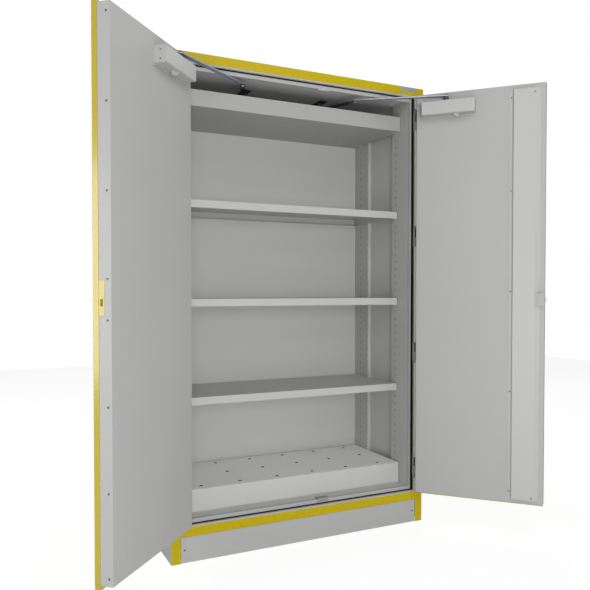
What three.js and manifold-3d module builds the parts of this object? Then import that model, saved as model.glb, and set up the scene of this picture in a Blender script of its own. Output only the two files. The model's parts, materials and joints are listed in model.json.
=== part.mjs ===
// Fire-resistant storage cabinet: insulated steel body, two hinged doors, shelves and a sump tray.
// Millimetres, +Z up, the doors face -Y and stand fully open at rest.

import * as THREE from 'three';
import { mergeVertices } from 'three/addons/utils/BufferGeometryUtils.js';
import Module from 'manifold-3d';

const wasm = await Module();
wasm.setup();

// Body
const cabinetWidth = 1160;
const cabinetHeight = 1950;
const bodyDepth = 545;
const casingSheet = 1;
const casingFold = 15;
const sideInsulation = 43;
const roofInsulation = 43;
const backInsulation = 54;

// Front frame
const plinthHeight = 101;
const trimWidth = 36.5;
const trimSheet = 2;
const frameFlange = 6.5;
const frameRecess = 14;
const frameFaceWidth = 19;
const frameSheet = 1.5;
const frameReturn = 14;
const sealSideWidth = 10.5;
const sealEndWidth = 4.5;
const sealThickness = 3;

// Interior
const linerSheet = 1;
const uprightWidth = 125;
const uprightSheet = 1.5;
const uprightFlange = 22;
const slotPitch = 33;
const slotWidth = 5;
const slotHeight = 9;
const firstSlotAboveFloor = 93;
const frontSlotFromEdge = 96;
const rearSlotFromEdge = 70;
const slotCountBelowShelves = 10;
const topTrayBelowCeiling = 131;
const topSlotBelowCeiling = 60;
const shelfSheet = 1.5;
const shelfThickness = 31;
const shelfLip = 14;
const shelfSideGap = 4;
const shelfFrontFromTrim = 104;
const topTrayHeight = 65;
const topTrayFrontFromTrim = 86;
const topTrayBackGap = 2;
const sumpHeight = 90;
const sumpFrontFromTrim = 87;
const sumpBackGap = 8;
const sumpSheet = 2;
const inlaySheet = 1.5;
const inlayGap = 0.6;
const inlayHoleRadius = 6.5;
const inlayColumns = 6;
const inlayRows = 3;
const inlaySideMargin = 91.5;
const inlayFrontMargin = 39.5;
const clipLength = 15;
const clipWidth = 22;
const clipThickness = 3;
const clipHook = 8;

// Doors
const doorThickness = 64;
const doorSheet = 1;
const skinReturn = 20.5;
const hingeGap = 4;
const centreGap = 3;
const doorGapBelow = 8;
const doorGapAbove = 5;
const seat = 0.3;
const openDegrees = 133;

// Hinges
const hingeCount = 4;
const hingeFromDoorBottom = 105;
const hingeFromDoorTop = 101.5;
const hingeHeight = 83;
const hingeAxisProud = 22;
const hingeAxisFromLip = 2;
const knuckleRadius = 6;
const hingePinRadius = 3;
const hingePinGap = 0.5;
const knuckleGap = 1;
const hingeLeafSheet = 1.5;
const hingeLeafWidth = 27;
const hingePocketGap = 2;

// Free edge of the left door
const strikeWidth = 19.5;
const strikeHeight = 107;
const strikeAboveLatch = 14;
const strikeDepth = 12;
const strikePocket = 14;

// Lock cover and lock of the right door
const coverFromFreeEdge = 20;
const coverFlat = 87;
const coverSlope = 19;
const coverProud = 14;
const coverSheet = 1.2;
const coverFoot = 15;
const latchHousingWidth = 40;
const latchHousingHeight = 54;
const latchHeight = 1009;
const latchNose = 21;
const latchThickness = 10;
const latchThrow = 8;
const latchTail = 60;
const latchFromSkin = 30;
const lockCaseWidth = 72;
const lockCaseHeight = 170;
const lockCaseDepth = 24;
const lockCaseFromFreeEdge = 12;
const rodFromFreeEdge = 76;
const rodWidth = 12;
const rodThickness = 5;
const rodThrow = 5.8;
const rodTipThickness = 2.5;
const rodMiddleGap = 150;
const keeperWidth = 51;
const keeperDepth = 22;
const keeperHeight = 5;
const keeperLip = 11;
const keeperHoleGap = 1.5;
const keeperWall = 1.2;
const keeperFrontGap = 1;

// Lever handle
const plateWidth = 42;
const plateHeight = 165;
const plateThickness = 8;
const leverFromFreeEdge = 58;
const leverLength = 128;
const leverWidth = 20;
const leverThickness = 12;
const leverStandoff = 36;
const leverNeckRadius = 9;
const spindleSize = 8;
const spindleBore = 7;
const plugRadius = 8;
const plugProud = 3;
const plugBelowLever = 70;
const keyholeWidth = 2;
const keyholeLength = 8;

// Door closers
const closerLength = 221;
const closerHeight = 58;
const closerDepth = 45;
const leftCloserFromHingeEdge = 54;
const rightCloserFromHingeEdge = 30;
const closerBelowDoorTop = 43;
const closerRound = 5;
const closerPlateSheet = 3;
const closerPlateMargin = 4;
const closerPlateBelow = 7;
const closerPlateAbove = 4;
const closerBossRadius = 12;
const closerBossLength = 15;
const closerBossFromSpindle = 44;
const spindleFromHingeEdge = 130;
const spindleRadius = 9;
const spindleHeight = 17.5;
const armLength = 391;
const armWidth = 22;
const armTipWidth = 18;
const armThickness = 5;
const forearmLength = 199;
const forearmWidth = 18;
const rivetRadius = 5;
const rivetHead = 2.5;
const bracketFromCentre = 185;
const bracketFromTrim = 250;
const bracketWidth = 36;
const bracketLength = 84;
const bracketPlateSheet = 4;
const bracketStudRadius = 11;

// Base and roof fittings
const plinthPanelRecess = 1.5;
const plinthPanelSheet = 1.5;
const plinthPanelGap = 1;
const plinthPanelFold = 12;
const footRadius = 24;
const footThickness = 9;
const footStemRadius = 7;
const footNutRadius = 13;
const footNutHeight = 9;
const footInset = 60;
const spigotRadius = 37.5;
const spigotSheet = 1.5;
const spigotHeight = 42;
const spigotFlange = 18;
const spigotFlangeSheet = 2;
const spigotFromBack = 130;

// Facets and cuts
const roundSides = 12;
const holeSides = 8;
const fineSides = 28;
const arcSteps = 4;
const cutOverrun = 1;
const weldTolerance = 0.0001;

// Places worked out from the sizes above
const halfWidth = cabinetWidth / 2;
const trimHalfWidth = halfWidth - trimWidth;
const trimBottom = plinthHeight + trimWidth;
const trimTop = cabinetHeight - trimWidth;
const frameHalfWidth = trimHalfWidth - frameFlange;
const frameBottom = trimBottom + frameFlange;
const frameTop = trimTop - frameFlange;
const openingHalfWidth = frameHalfWidth - frameFaceWidth;
const openingBottom = frameBottom + frameFaceWidth;
const openingTop = frameTop - frameFaceWidth;
const linerHalfWidth = halfWidth - casingSheet - sideInsulation - linerSheet;
const linerFront = frameRecess + frameSheet;
const ceiling = cabinetHeight - casingSheet - roofInsulation - linerSheet;
const floor = openingBottom;
const casingBack = bodyDepth - casingSheet * 2;
const backWall = casingBack - backInsulation - linerSheet;
const frontUprightY = frameRecess + frameReturn + frameSheet;
const rearUprightY = backWall - uprightWidth;
const frontSlotY = frontUprightY + frontSlotFromEdge;
const rearSlotY = rearUprightY + rearSlotFromEdge;
const firstSlot = floor + firstSlotAboveFloor;
const shelfHalfWidth = openingHalfWidth - shelfSideGap;
const trayHalfWidth = openingHalfWidth - shelfSideGap / 2;
const shelfNames = ['lower_shelf', 'middle_shelf', 'upper_shelf'];
const lowestSupport = firstSlot + slotPitch * slotCountBelowShelves;
const slotCountBetweenShelves = Math.round(
  (ceiling - topTrayBelowCeiling - lowestSupport) / slotPitch / shelfNames.length);
const shelfSupport = level => lowestSupport + level * slotPitch * slotCountBetweenShelves;
const topTraySupport = shelfSupport(shelfNames.length);
const slotCount = 1 + Math.floor((ceiling - topSlotBelowCeiling - firstSlot) / slotPitch);

const doorWidth = frameHalfWidth - hingeGap - centreGap / 2;
const doorBottom = frameBottom + doorGapBelow;
const doorTop = frameTop - doorGapAbove;
const doorBack = frameRecess - sealThickness - seat;
const axisX = frameHalfWidth - hingeAxisFromLip;
const axisY = -hingeAxisProud;
const openAngle = THREE.MathUtils.degToRad(openDegrees);
const hingePitch = (doorTop - hingeFromDoorTop - doorBottom - hingeFromDoorBottom) / (hingeCount - 1);
const hingeHeights = Array.from({ length: hingeCount }, (_, i) => doorBottom + hingeFromDoorBottom + i * hingePitch);

const closerTop = doorTop - closerBelowDoorTop;
const closerBottom = closerTop - closerHeight;
const armBottom = closerTop + spindleHeight + seat;

// Finishes
const finish = (color, roughness, metalness) => new THREE.MeshStandardMaterial({ color, roughness, metalness });
const yellowPaint = finish('#c4a41a', 0.35, 0);
const greyPaint = finish('#b6b7b3', 0.5, 0);
const lightPaint = finish('#c3c4c0', 0.45, 0);
const sealRubber = finish('#15150f', 0.7, 0);
const boardWhite = finish('#d8d4c8', 0.95, 0);
const zincSteel = finish('#9a9c9e', 0.4, 0.8);
const brushedSteel = finish('#a9abad', 0.3, 0.9);

// Shapes
function block(x0, x1, y0, y1, z0, z1) {
  const geometry = new THREE.BoxGeometry(x1 - x0, y1 - y0, z1 - z0);
  return geometry.translate((x0 + x1) / 2, (y0 + y1) / 2, (z0 + z1) / 2);
}

function outline(points) {
  return new THREE.Shape(points.map(([a, b]) => new THREE.Vector2(a, b)));
}

const extruded = (shape, depth) =>
  new THREE.ExtrudeGeometry(shape, { depth, bevelEnabled: false, curveSegments: arcSteps });

// An outline in X and Y carried up from z0 to z1
function alongZ(shape, z0, z1) {
  return extruded(shape, z1 - z0).translate(0, 0, z0);
}

// An outline in Y and Z carried from x0 to x1
function alongX(shape, x0, x1) {
  const turn = new THREE.Matrix4().makeBasis(
    new THREE.Vector3(0, 1, 0), new THREE.Vector3(0, 0, 1), new THREE.Vector3(1, 0, 0));
  return extruded(shape, x1 - x0).applyMatrix4(turn).translate(x0, 0, 0);
}

// An outline in X and Z carried from y0 to y1
function alongY(shape, y0, y1) {
  const turn = new THREE.Matrix4().makeBasis(
    new THREE.Vector3(1, 0, 0), new THREE.Vector3(0, 0, 1), new THREE.Vector3(0, -1, 0));
  return extruded(shape, y1 - y0).applyMatrix4(turn).translate(0, y1, 0);
}

// Rings of [radius, height] turned round the Z axis
function turned(rings, sides = roundSides) {
  return new THREE.LatheGeometry(rings.map(([r, z]) => new THREE.Vector2(r, z)), sides).rotateX(Math.PI / 2);
}

function disc(radius, z0, z1, sides = roundSides) {
  return turned([[0, z0], [radius, z0], [radius, z1], [0, z1]], sides);
}

function toSolid(geometry) {
  const bare = geometry.clone();
  bare.deleteAttribute('normal');
  bare.deleteAttribute('uv');
  const welded = mergeVertices(bare, weldTolerance);
  return new wasm.Manifold(new wasm.Mesh({
    numProp: 3,
    vertProperties: welded.attributes.position.array,
    triVerts: Uint32Array.from(welded.index.array),
  }));
}

function toGeometry(solid) {
  const mesh = solid.getMesh();
  const geometry = new THREE.BufferGeometry();
  geometry.setAttribute('position', new THREE.BufferAttribute(mesh.vertProperties, mesh.numProp));
  geometry.setIndex(new THREE.BufferAttribute(mesh.triVerts, 1));
  return geometry;
}

const join = (first, ...others) =>
  toGeometry(others.reduce((solid, other) => solid.add(toSolid(other)), toSolid(first)));
const cut = (first, ...tools) =>
  toGeometry(tools.reduce((solid, tool) => solid.subtract(toSolid(tool)), toSolid(first)));

// A section of [inset, y] points carried round a rectangle in X and Z with mitred corners
function mitredFrame(section, outerHalfWidth, zLow, zHigh) {
  const corners = [[-1, -1], [1, -1], [1, 1], [-1, 1]];
  const middle = (zLow + zHigh) / 2;
  const outerHalfHeight = (zHigh - zLow) / 2;
  const positions = corners.flatMap(([sx, sz]) => section.flatMap(([inset, y]) =>
    [sx * (outerHalfWidth - inset), y, middle + sz * (outerHalfHeight - inset)]));
  const count = section.length;
  const index = [];
  for (let corner = 0; corner < corners.length; corner += 1) {
    const next = (corner + 1) % corners.length;
    for (let point = 0; point < count; point += 1) {
      const after = (point + 1) % count;
      const [a, b] = [corner * count + point, next * count + point];
      const [c, d] = [next * count + after, corner * count + after];
      index.push(a, b, c, a, c, d);
    }
  }
  const geometry = new THREE.BufferGeometry();
  geometry.setAttribute('position', new THREE.Float32BufferAttribute(positions, 3));
  geometry.setIndex(index);
  return geometry;
}

// A mirror image across the X = 0 plane, with its faces turned back out
function mirrored(geometry) {
  const copy = (geometry.index ? geometry.toNonIndexed() : geometry.clone()).scale(-1, 1, 1);
  const index = Array.from({ length: copy.attributes.position.count }, (_, i) => i - i % 3 + (3 - i % 3) % 3);
  copy.setIndex(index);
  return copy;
}

const handed = (geometry, side) => (side > 0 ? geometry : mirrored(geometry));

const cabinet = new THREE.Group();

function add(parent, name, geometry, material) {
  const mesh = new THREE.Mesh(geometry, material);
  mesh.name = name;
  parent.add(mesh);
  return mesh;
}

const sides = [['left', -1], ['right', 1]];

// Outer casing
for (const [hand, side] of sides) {
  const [outer, inner] = [halfWidth, halfWidth - casingSheet];
  const wall = outline([
    [outer, trimSheet], [outer, bodyDepth - casingSheet], [outer - casingFold, bodyDepth - casingSheet],
    [outer - casingFold, casingBack], [inner, casingBack],
    [inner, trimSheet + casingSheet], [outer - casingFold, trimSheet + casingSheet],
    [outer - casingFold, trimSheet]]);
  add(cabinet, `${hand}_side_panel`, handed(alongZ(wall, 0, cabinetHeight), side), greyPaint);
}

const spigotY = bodyDepth - spigotFromBack;
const spigotBore = (grow, z0, z1) => disc(spigotRadius + grow, z0, z1, fineSides).translate(0, spigotY, 0);
{
  const inner = halfWidth - casingSheet;
  const [front, back] = [trimSheet, casingBack];
  const low = cabinetHeight - casingFold;
  const roof = outline([
    [front, low], [front + casingSheet, low], [front + casingSheet, cabinetHeight - casingSheet],
    [back - casingSheet, cabinetHeight - casingSheet], [back - casingSheet, low], [back, low],
    [back, cabinetHeight], [front, cabinetHeight]]);
  const clearOfFold = block(-inner + casingFold, inner - casingFold, front - cutOverrun,
    front + casingSheet, low - cutOverrun, cabinetHeight - casingSheet);
  const foldEnds = sides.map(([, side]) => handed(block(inner - casingFold, inner + cutOverrun,
    front - cutOverrun, front + casingSheet, low - cutOverrun, cabinetHeight + cutOverrun), side));
  const roofGeometry = cut(alongX(roof, -inner, inner), clearOfFold, ...foldEnds,
    spigotBore(0, cabinetHeight - casingSheet - cutOverrun, cabinetHeight + cutOverrun));
  add(cabinet, 'roof_panel', roofGeometry, greyPaint);
  add(cabinet, 'back_panel', block(-halfWidth, halfWidth, bodyDepth - casingSheet, bodyDepth,
    0, cabinetHeight), greyPaint);
  const base = outline([
    [front + casingSheet, plinthHeight - casingFold], [front + casingSheet * 2, plinthHeight - casingFold],
    [front + casingSheet * 2, plinthHeight], [back - casingSheet, plinthHeight],
    [back - casingSheet, plinthHeight - casingFold], [back, plinthHeight - casingFold],
    [back, plinthHeight + casingSheet], [front + casingSheet, plinthHeight + casingSheet]]);
  add(cabinet, 'base_pan', alongX(base, -inner, inner), zincSteel);
}

// Yellow trim: a flat frame whose legs run to the floor on both sides of the plinth
{
  const face = outline([
    [-halfWidth, 0], [-trimHalfWidth, 0], [-trimHalfWidth, plinthHeight],
    [trimHalfWidth, plinthHeight], [trimHalfWidth, 0], [halfWidth, 0],
    [halfWidth, cabinetHeight], [-halfWidth, cabinetHeight]]);
  face.holes.push(outline([
    [-trimHalfWidth, trimBottom], [-trimHalfWidth, trimTop],
    [trimHalfWidth, trimTop], [trimHalfWidth, trimBottom]]));
  add(cabinet, 'trim_frame', alongY(face, 0, trimSheet), yellowPaint);
}

// Frame side of a hinge: a leaf welded to the lip, with the lower knuckle and the pin
function frameLeaf(height) {
  const [low, high] = [height - hingeHeight / 2, height + hingeHeight / 2];
  const split = height - knuckleGap / 2;
  const knuckle = turned([
    [0, low], [knuckleRadius, low], [knuckleRadius, split], [hingePinRadius, split],
    [hingePinRadius, high - knuckleGap], [0, high - knuckleGap]]).translate(axisX, axisY, 0);
  const leafFace = frameHalfWidth - hingeLeafSheet;
  const link = block(leafFace, frameHalfWidth, axisY, trimSheet + cutOverrun, low, split);
  const plate = block(leafFace, frameHalfWidth, trimSheet, frameRecess - sealThickness, low, high);
  return join(knuckle, link, plate);
}

// Inner frame: flange flush with the trim, lip, recessed face, return into the opening, and the
// hinges' frame leaves
{
  const faceBack = frameRecess + frameSheet;
  const section = [
    [-frameFlange, 0], [0, 0], [0, frameRecess], [frameFaceWidth, frameRecess],
    [frameFaceWidth, frameRecess + frameReturn], [frameFaceWidth - frameSheet, frameRecess + frameReturn],
    [frameFaceWidth - frameSheet, faceBack], [-frameSheet, faceBack],
    [-frameSheet, frameSheet], [-frameFlange, frameSheet]];
  const leaves = hingeHeights.flatMap(height => sides.map(([, side]) => handed(frameLeaf(height), side)));
  add(cabinet, 'inner_frame', join(mitredFrame(section, frameHalfWidth, frameBottom, frameTop), ...leaves),
    lightPaint);
  const sealInside = frameHalfWidth - sealSideWidth;
  add(cabinet, 'frame_seal', cut(
    block(-frameHalfWidth, frameHalfWidth, frameRecess - sealThickness, frameRecess, frameBottom, frameTop),
    block(-sealInside, sealInside, frameRecess - sealThickness - cutOverrun, frameRecess + cutOverrun,
      frameBottom + sealEndWidth, frameTop - sealEndWidth)), sealRubber);
}

// Liner panels
const linerSide = block(linerHalfWidth, linerHalfWidth + linerSheet, linerFront, backWall + linerSheet,
  floor - linerSheet, ceiling + linerSheet);
for (const [hand, side] of sides) {
  add(cabinet, `${hand}_liner`, handed(linerSide, side), greyPaint);
}
add(cabinet, 'back_liner', block(-linerHalfWidth, linerHalfWidth, backWall, backWall + linerSheet,
  floor, ceiling), greyPaint);
add(cabinet, 'ceiling_liner', cut(block(-linerHalfWidth, linerHalfWidth, linerFront,
  backWall + linerSheet, ceiling, ceiling + linerSheet),
  spigotBore(0, ceiling - cutOverrun, ceiling + linerSheet + cutOverrun)), greyPaint);
add(cabinet, 'floor_liner', block(-linerHalfWidth, linerHalfWidth, frameRecess + frameReturn,
  backWall + linerSheet, floor - linerSheet, floor), greyPaint);

// Insulation boards, glued into one jacket between the liner and the casing
{
  const outer = halfWidth - casingSheet;
  const [low, high] = [plinthHeight + casingSheet, cabinetHeight - casingSheet];
  const hollow = block(-linerHalfWidth - linerSheet, linerHalfWidth + linerSheet, linerFront - cutOverrun,
    backWall + linerSheet, floor - linerSheet, ceiling + linerSheet);
  const aroundReturn = block(-openingHalfWidth - frameSheet, openingHalfWidth + frameSheet,
    linerFront - cutOverrun, frameRecess + frameReturn, openingBottom - frameSheet, openingTop + frameSheet);
  const roofFoldBack = block(-outer - cutOverrun, outer + cutOverrun, casingBack - casingSheet,
    casingBack + cutOverrun, high - casingFold, high + cutOverrun);
  add(cabinet, 'insulation_jacket', cut(block(-outer, outer, linerFront, casingBack, low, high), hollow,
    aroundReturn, roofFoldBack, spigotBore(spigotSheet, ceiling, high + cutOverrun)), boardWhite);
}

// Slotted uprights: folded channels, each with a row of slots and a support clip under every tray
{
  const slotRow = y => Array.from({ length: slotCount }, (_, i) => block(
    openingHalfWidth - cutOverrun, openingHalfWidth + uprightSheet + cutOverrun,
    y - slotWidth / 2, y + slotWidth / 2,
    firstSlot + i * slotPitch - slotHeight / 2, firstSlot + i * slotPitch + slotHeight / 2));
  const channel = y0 => {
    const [y1, face, back] = [y0 + uprightWidth, openingHalfWidth, linerHalfWidth];
    const inFace = face + uprightSheet;
    const inBack = back - uprightSheet;
    return outline([
      [face, y0], [face, y1], [back, y1], [back, y1 - uprightFlange], [inBack, y1 - uprightFlange],
      [inBack, y1 - uprightSheet], [inFace, y1 - uprightSheet], [inFace, y0 + uprightSheet],
      [inBack, y0 + uprightSheet], [inBack, y0 + uprightFlange], [back, y0 + uprightFlange], [back, y0]]);
  };
  const clip = (level, y) => {
    const top = shelfSupport(level);
    const [tip, face] = [openingHalfWidth - clipLength, openingHalfWidth];
    const hookFace = face + uprightSheet + seat;
    const hookSide = outline([
      [tip, top - clipThickness], [hookFace, top - clipThickness], [hookFace, top - clipHook],
      [hookFace + clipThickness, top - clipHook], [hookFace + clipThickness, top], [tip, top]]);
    const pad = block(tip, face + uprightSheet / 2, y - clipWidth / 2, y + clipWidth / 2,
      top - clipThickness, top);
    return join(alongY(hookSide, y - slotWidth / 2 + seat, y + slotWidth / 2 - seat), pad);
  };
  for (const [place, y0, slotY] of [['front', frontUprightY, frontSlotY], ['rear', rearUprightY, rearSlotY]]) {
    const slotted = cut(alongZ(channel(y0), floor, ceiling), ...slotRow(slotY));
    const clips = Array.from({ length: shelfNames.length + 1 }, (_, level) => clip(level, slotY));
    const upright = join(slotted, ...clips);
    for (const [hand, side] of sides) {
      add(cabinet, `${hand}_${place}_upright`, handed(upright, side), lightPaint);
    }
  }
}

// Shelves: folded trays turned down, with lips at front and back
{
  const [front, back, half] = [shelfFrontFromTrim, backWall - seat, shelfHalfWidth];
  shelfNames.forEach((name, level) => {
    const low = shelfSupport(level);
    const top = low + shelfThickness;
    add(cabinet, name, cut(block(-half, half, front, back, low, top),
      block(-half + shelfSheet, half - shelfSheet, front + shelfSheet, back - shelfSheet,
        low + shelfSheet, top - shelfSheet),
      block(-half + shelfSheet, half - shelfSheet, front + shelfLip, back - shelfLip,
        low - cutOverrun, low + shelfSheet + cutOverrun)), lightPaint);
  });
}

// An open tray with its rim at the top
function openTray(halfSpan, front, back, low, high, sheet) {
  return cut(block(-halfSpan, halfSpan, front, back, low, high),
    block(-halfSpan + sheet, halfSpan - sheet, front + sheet, back - sheet, low + sheet, high + cutOverrun));
}

add(cabinet, 'top_tray', openTray(trayHalfWidth, topTrayFrontFromTrim, backWall - topTrayBackGap,
  topTraySupport, topTraySupport + topTrayHeight, shelfSheet), lightPaint);

// Sump tray and its perforated inlay, which stands on two long folds
{
  const [front, back] = [sumpFrontFromTrim, backWall - sumpBackGap];
  const rim = floor + sumpHeight;
  add(cabinet, 'sump_tray', openTray(shelfHalfWidth, front, back, floor, rim, sumpSheet), lightPaint);
  const inset = sumpSheet + inlayGap;
  const [y0, y1] = [front + inset, back - inset];
  const [low, top] = [floor + sumpSheet, rim];
  const fold = outline([
    [y0, low], [y0 + inlaySheet, low], [y0 + inlaySheet, top - inlaySheet],
    [y1 - inlaySheet, top - inlaySheet], [y1 - inlaySheet, low], [y1, low], [y1, top], [y0, top]]);
  const columnPitch = (shelfHalfWidth - inlaySideMargin) * 2 / (inlayColumns - 1);
  const rowPitch = (back - front - inlayFrontMargin * 2) / (inlayRows - 1);
  const holes = [];
  for (let column = 0; column < inlayColumns; column += 1) {
    for (let row = 0; row < inlayRows; row += 1) {
      const x = inlaySideMargin - shelfHalfWidth + column * columnPitch;
      const y = front + inlayFrontMargin + row * rowPitch;
      holes.push(disc(inlayHoleRadius, top - inlaySheet - cutOverrun, top + cutOverrun, holeSides).translate(x, y, 0));
    }
  }
  add(cabinet, 'sump_inlay', cut(alongX(fold, inset - shelfHalfWidth, shelfHalfWidth - inset), ...holes),
    lightPaint);
}

// Keepers for the tips of the two lock rods, on the bottom and the top of the frame
const doorPlaceX = u => frameHalfWidth - hingeGap - u;
const rodU = doorWidth - rodFromFreeEdge;
const rodTipN = -seat - rodThickness + rodTipThickness;
{
  const rodX = doorPlaceX(rodU);
  const front = frameRecess - sealThickness + keeperFrontGap;
  const hole = block(rodX - rodWidth / 2 - keeperHoleGap, rodX + rodWidth / 2 + keeperHoleGap,
    front + keeperWall, doorBack - rodTipN + rodTipThickness + keeperHoleGap,
    -keeperHeight - cutOverrun, keeperHeight + cutOverrun);
  const profile = outline([
    [front, -keeperLip], [frameRecess, -keeperLip], [frameRecess, 0],
    [frameRecess + keeperDepth, 0], [frameRecess + keeperDepth, keeperHeight], [front, keeperHeight]]);
  const keeper = cut(alongX(profile, rodX - keeperWidth / 2, rodX + keeperWidth / 2), hole);
  const upper = keeper.clone().scale(1, 1, -1);
  upper.setIndex(Array.from(upper.index.array).reverse());
  add(cabinet, 'lower_rod_keeper', keeper.clone().translate(0, 0, openingBottom), zincSteel);
  add(cabinet, 'upper_rod_keeper', upper.translate(0, 0, openingTop), zincSteel);
}

// Plinth
{
  const [y0, y1] = [plinthPanelRecess, plinthPanelRecess + plinthPanelSheet];
  const span = trimHalfWidth - plinthPanelGap;
  const [low, high] = [plinthPanelGap, plinthHeight - plinthPanelGap];
  const panel = outline([
    [y0, low], [y0 + plinthPanelFold, low], [y0 + plinthPanelFold, low + plinthPanelSheet],
    [y1, low + plinthPanelSheet], [y1, high], [y0, high]]);
  add(cabinet, 'plinth_panel', alongX(panel, -span, span), greyPaint);
  const stemTop = plinthHeight;
  const foot = turned([
    [0, 0], [footRadius, 0], [footRadius, footThickness / 2], [footStemRadius, footThickness],
    [footStemRadius, stemTop - footNutHeight], [footNutRadius, stemTop - footNutHeight],
    [footNutRadius, stemTop], [0, stemTop]]);
  for (const [place, y] of [['front', footInset], ['rear', bodyDepth - footInset]]) {
    for (const [hand, side] of sides) {
      add(cabinet, `${hand}_${place}_foot`, foot.clone().translate(side * (halfWidth - footInset), y, 0), zincSteel);
    }
  }
}

// Exhaust spigot through the roof
{
  const bore = spigotRadius - spigotSheet;
  const rings = [
    [bore, ceiling], [spigotRadius, ceiling], [spigotRadius, cabinetHeight],
    [spigotRadius + spigotFlange, cabinetHeight], [spigotRadius + spigotFlange, cabinetHeight + spigotFlangeSheet],
    [spigotRadius, cabinetHeight + spigotFlangeSheet], [spigotRadius, cabinetHeight + spigotHeight],
    [bore, cabinetHeight + spigotHeight], [bore, ceiling]];
  add(cabinet, 'exhaust_spigot', turned(rings, fineSides).translate(0, spigotY, 0), zincSteel);
}

// Doors are drawn shut, in a group whose origin is the hinge axis, and the group turns open.
// u runs from the hinge edge to the free edge, n from the inner face to the outer face.
const doorX = u => doorPlaceX(u) - axisX;
const doorY = n => doorBack - n - axisY;
const doorBlock = (u0, u1, n0, n1, z0, z1) => block(doorX(u1), doorX(u0), doorY(n1), doorY(n0), z0, z1);

// A round piece whose axis runs along n, from n0 to n1
const doorDisc = (u, z, radius, n0, n1, facets = roundSides) =>
  disc(radius, 0, n1 - n0, facets).rotateX(Math.PI / 2).translate(doorX(u), doorY(n0), z);

const hingePockets = hingeHeights.map(height => doorBlock(
  -cutOverrun, knuckleRadius - (hingeGap - hingeAxisFromLip) + hingePocketGap,
  doorBack - axisY - knuckleRadius - hingePocketGap, doorBack - axisY + knuckleRadius + hingePocketGap,
  height - hingeHeight / 2 - hingePocketGap, height + hingeHeight / 2 + hingePocketGap));

const skinInner = doorThickness - doorSheet;
const skinEdge = skinInner - skinReturn + doorSheet;
const latchN = doorThickness - latchFromSkin;
const leverU = doorWidth - leverFromFreeEdge;
const plugHeight = latchHeight - plugBelowLever;
const lockU = [doorWidth - lockCaseFromFreeEdge - lockCaseWidth, doorWidth - lockCaseFromFreeEdge];
const lockN = [latchN - lockCaseDepth / 2, latchN + lockCaseDepth / 2];
const lockZ = [latchHeight - lockCaseHeight / 2 - plugBelowLever / 2,
  latchHeight + lockCaseHeight / 2 - plugBelowLever / 2];
const strikeN = [skinEdge - strikeWidth, skinEdge - seat];
const strikeCentre = latchHeight + strikeAboveLatch;
const strikeZ = [strikeCentre - strikeHeight / 2, strikeCentre + strikeHeight / 2];
const latchSlot = (u0, u1) => doorBlock(u0, u1, latchN - latchThickness / 2 - seat,
  latchN + latchThickness / 2 + seat, latchHeight - latchNose / 2 - seat, latchHeight + latchNose / 2 + seat);

function doorSkin(side) {
  const pan = cut(doorBlock(0, doorWidth, skinEdge, doorThickness, doorBottom, doorTop),
    doorBlock(doorSheet, doorWidth - doorSheet, skinEdge - cutOverrun, skinInner,
      doorBottom + doorSheet, doorTop - doorSheet));
  if (side < 0) return pan;
  return cut(pan,
    doorDisc(leverU, latchHeight, spindleBore, skinInner - cutOverrun, doorThickness + cutOverrun),
    doorDisc(leverU, plugHeight, plugRadius + seat, skinInner - cutOverrun, doorThickness + cutOverrun));
}

function doorLiner(side) {
  const free = side < 0 ? doorWidth - doorSheet - seat : doorWidth;
  const hollowFree = side < 0 ? free + cutOverrun : free - doorSheet;
  const pan = cut(doorBlock(0, free, 0, skinEdge - seat, doorBottom, doorTop),
    doorBlock(doorSheet, hollowFree, doorSheet, skinEdge + cutOverrun,
      doorBottom + doorSheet, doorTop - doorSheet), ...hingePockets);
  const hinged = join(pan, ...hingeHeights.map(doorHingeLeaf));
  return side < 0 ? hinged : cut(hinged, latchSlot(free - doorSheet - cutOverrun, free + cutOverrun));
}

function doorCore(side) {
  const inset = doorSheet + seat;
  const core = cut(doorBlock(inset, doorWidth - inset, inset, skinInner - seat,
    doorBottom + inset, doorTop - inset), ...hingePockets);
  if (side < 0) {
    return cut(core, doorBlock(doorWidth - strikePocket, doorWidth, strikeN[0] - seat, strikeN[1] + seat,
      strikeZ[0] - seat, strikeZ[1] + seat));
  }
  return cut(core,
    doorBlock(lockU[0] - seat, lockU[1] + seat, lockN[0] - seat, lockN[1] + seat,
      lockZ[0] - seat, lockZ[1] + seat),
    latchSlot(lockU[1], doorWidth),
    doorDisc(leverU, latchHeight, spindleBore, lockN[1], doorThickness),
    doorDisc(leverU, plugHeight, plugRadius + seat, lockN[1], doorThickness));
}

// Door side of a hinge: a leaf let onto the door's edge, with the upper knuckle
function doorHingeLeaf(height) {
  const [low, high] = [height - hingeHeight / 2, height + hingeHeight / 2];
  const split = height + knuckleGap / 2;
  const bore = hingePinRadius + hingePinGap;
  const knuckle = turned([[bore, split], [knuckleRadius, split], [knuckleRadius, high], [bore, high], [bore, split]]);
  const axisN = doorBack - axisY;
  const link = doorBlock(-hingeLeafSheet, 0, axisN - knuckleRadius - hingePocketGap, axisN - bore, split, high);
  const leaf = doorBlock(-hingeLeafSheet, doorSheet / 2, axisN - hingeLeafWidth,
    axisN - knuckleRadius - hingePocketGap, low, high);
  return join(knuckle, link, leaf);
}

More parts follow.
